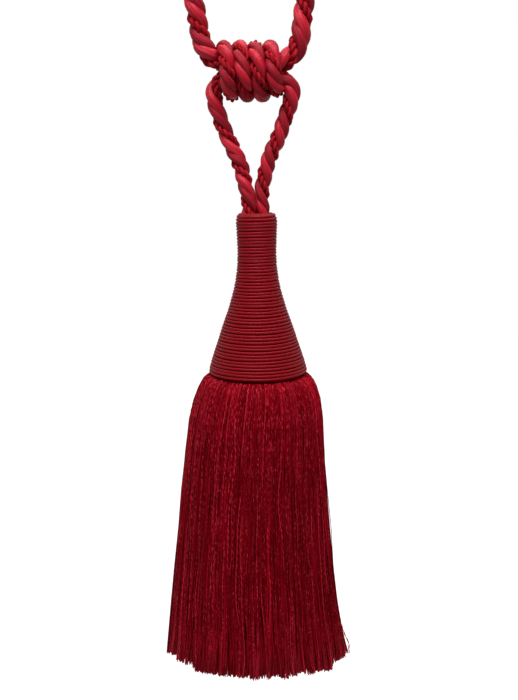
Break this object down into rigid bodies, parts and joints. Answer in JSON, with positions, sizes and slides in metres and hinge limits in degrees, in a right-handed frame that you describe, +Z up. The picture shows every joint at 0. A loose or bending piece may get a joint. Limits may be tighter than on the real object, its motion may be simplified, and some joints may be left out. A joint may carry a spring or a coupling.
{
  "type": "tassel curtain tieback",
  "caption": "Tassel tieback: a corded, bell-shaped head over a long yarn skirt, hung from a knotted loop of twisted rope.",
  "frame": {"origin": "the point under the top of the rope's loop where the loop bears on its hook", "axes": "+Z up, away from the hanging tassel, +X to the right seen from the front, front facing -Y"},
  "size_m": [0.1158, 0.1156, 0.4736],
  "materials": {
    "rope": "satin and crepe yarn strands",
    "knot": "satin and crepe yarn strands",
    "head": "close winding of fine cord",
    "skirt": "loose satin and boucle yarns"
  },
  "bodies": {
    "root": {"rope": "rope", "knot": "knot", "head": "head", "skirt": "skirt"}
  },
  "joints": []
}
